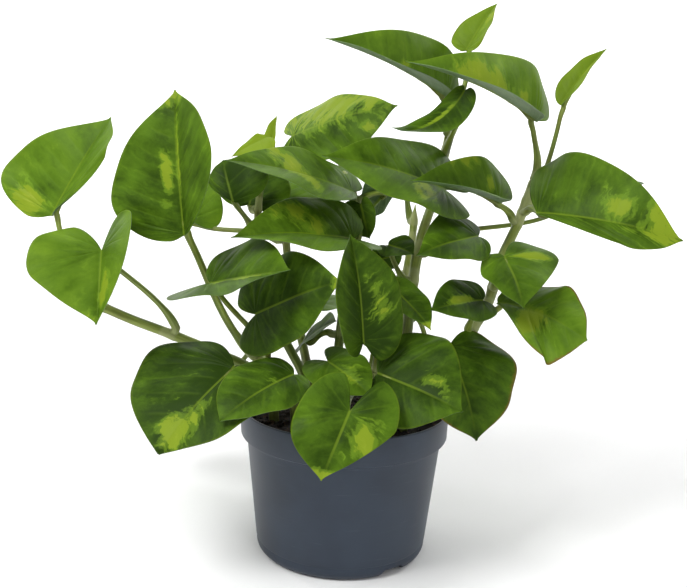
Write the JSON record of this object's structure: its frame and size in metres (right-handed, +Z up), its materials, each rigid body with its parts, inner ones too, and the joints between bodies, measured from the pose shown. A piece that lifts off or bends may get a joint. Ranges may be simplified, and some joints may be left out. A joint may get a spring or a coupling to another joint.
{
  "type": "potted pothos plant",
  "caption": "Small pothos with variegated heart-shaped leaves on arching stems, growing in a tapered plastic nursery pot with a collar.",
  "frame": {"origin": "centre of the pot's underside, on the surface that the pot stands on", "axes": "+Z up, -Y towards the viewer at the front of the plant, +X to the right of it"},
  "size_m": [0.3796, 0.2165, 0.3172],
  "materials": {
    "leaf": "satin",
    "stem": "satin",
    "soil": "matte",
    "pot": "satin"
  },
  "bodies": {
    "root": {"leaf_a1": "leaf", "leaf_a2": "leaf", "leaf_b1": "leaf", "leaf_b2": "leaf", "leaf_c1": "leaf", "leaf_c2": "leaf", "leaf_c3": "leaf", "leaf_c4": "leaf", "leaf_c5": "leaf", "leaf_d1": "leaf", "leaf_d2": "leaf", "leaf_d3": "leaf", "leaf_d4": "leaf", "leaf_d5": "leaf", "leaf_d6": "leaf", "leaf_d7": "leaf", "leaf_e1": "leaf", "leaf_e2": "leaf", "leaf_e3": "leaf", "leaf_e4": "leaf", "leaf_e5": "leaf", "leaf_e6": "leaf", "leaf_f1": "leaf", "leaf_f2": "leaf", "leaf_f3": "leaf", "leaf_f4": "leaf", "leaf_f5": "leaf", "leaf_f6": "leaf", "leaf_f7": "leaf", "leaf_g1": "leaf", "leaf_g2": "leaf", "leaf_g3": "leaf", "leaf_g4": "leaf", "leaf_h1": "leaf", "leaf_h2": "leaf", "leaf_i1": "leaf", "leaf_i2": "leaf", "leaf_j1": "leaf", "leaf_j2": "leaf", "leaf_j3": "leaf", "leaf_j4": "leaf", "leaf_k1": "leaf", "leaf_k2": "leaf", "leaf_k3": "leaf", "leaf_k4": "leaf", "pot": "pot", "soil": "soil", "vine_a": "stem", "vine_b": "stem", "vine_c": "stem", "vine_d": "stem", "vine_e": "stem", "vine_f": "stem", "vine_g": "stem", "vine_h": "stem", "vine_i": "stem", "vine_j": "stem", "vine_k": "stem"}
  },
  "joints": []
}
